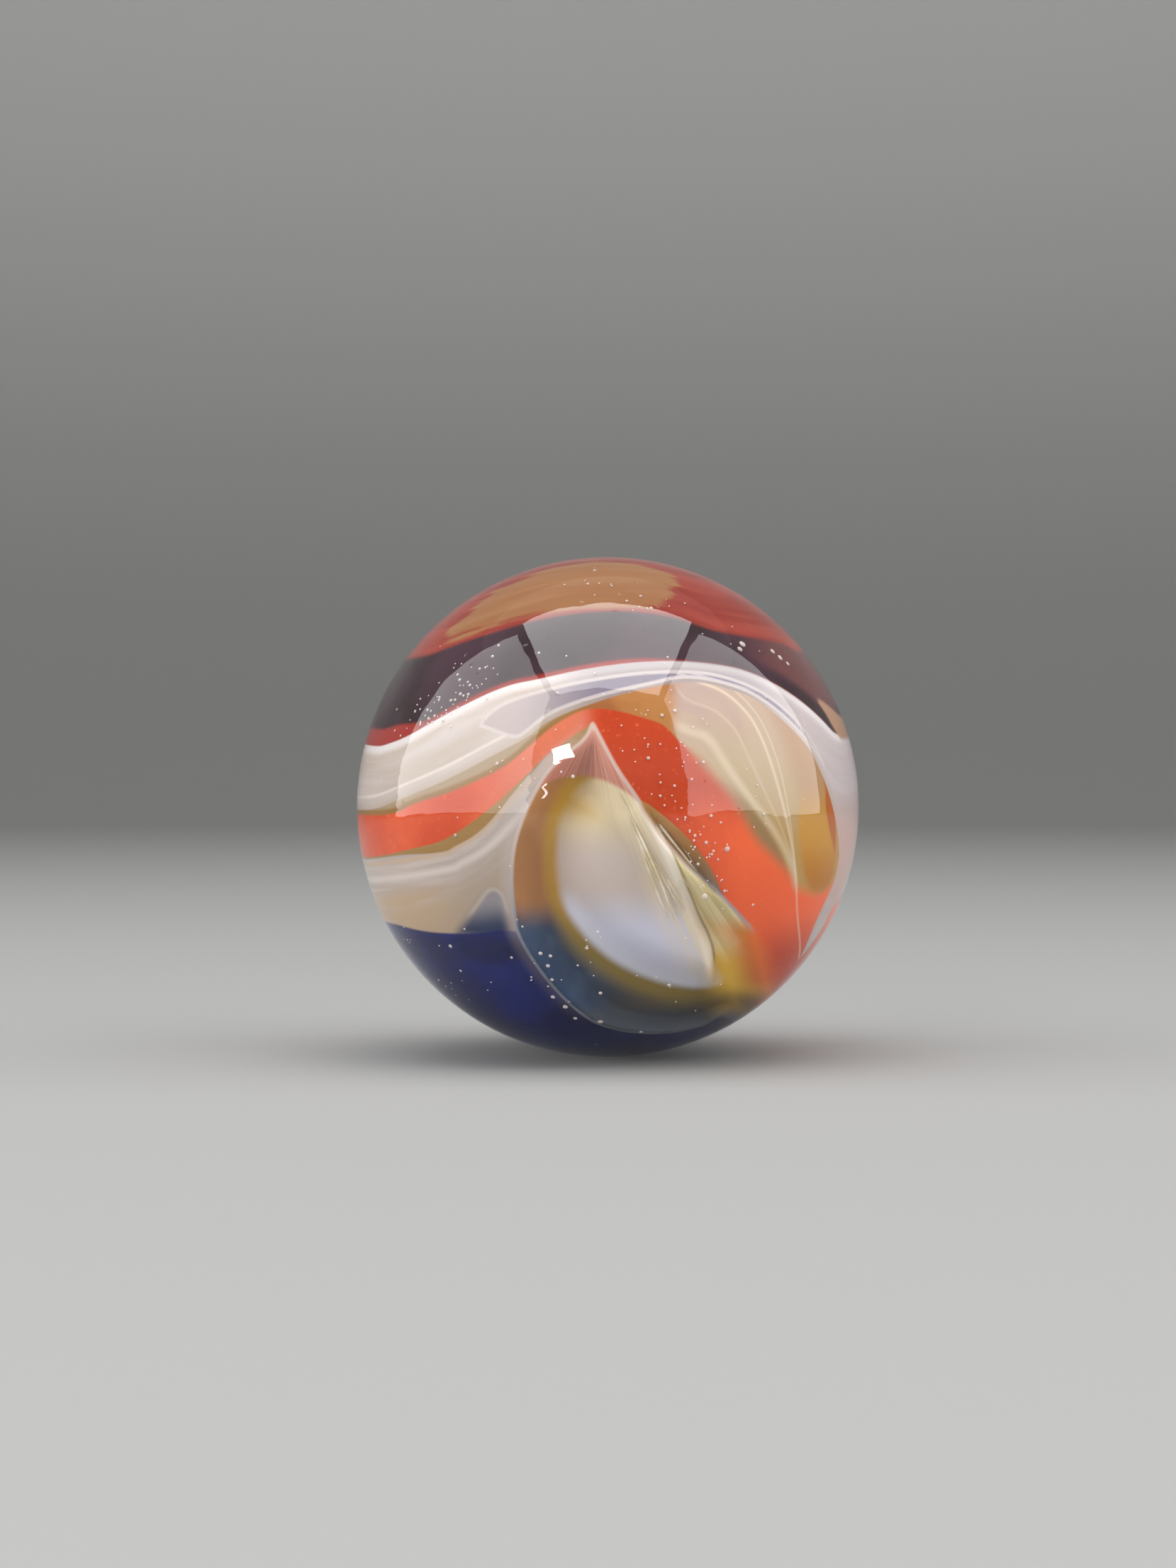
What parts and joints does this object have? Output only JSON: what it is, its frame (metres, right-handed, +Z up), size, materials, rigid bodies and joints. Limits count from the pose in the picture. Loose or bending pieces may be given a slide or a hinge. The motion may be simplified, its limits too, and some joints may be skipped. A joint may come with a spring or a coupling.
{
  "type": "glass marble",
  "caption": "Solid glass ball for playing marbles, with opaque, opal and clear coloured glass swirled through it.",
  "frame": {"origin": "centre of the ball", "axes": "+Z up through the poles, the slightly shorter way across; the side with the pointed clear window and the opal bowl faces -Y; +X is to the right seen from that side"},
  "size_m": [0.0254, 0.0254, 0.0252],
  "materials": {
    "swirled_glass": "gloss"
  },
  "bodies": {
    "root": {"marble": "swirled_glass"}
  },
  "joints": []
}
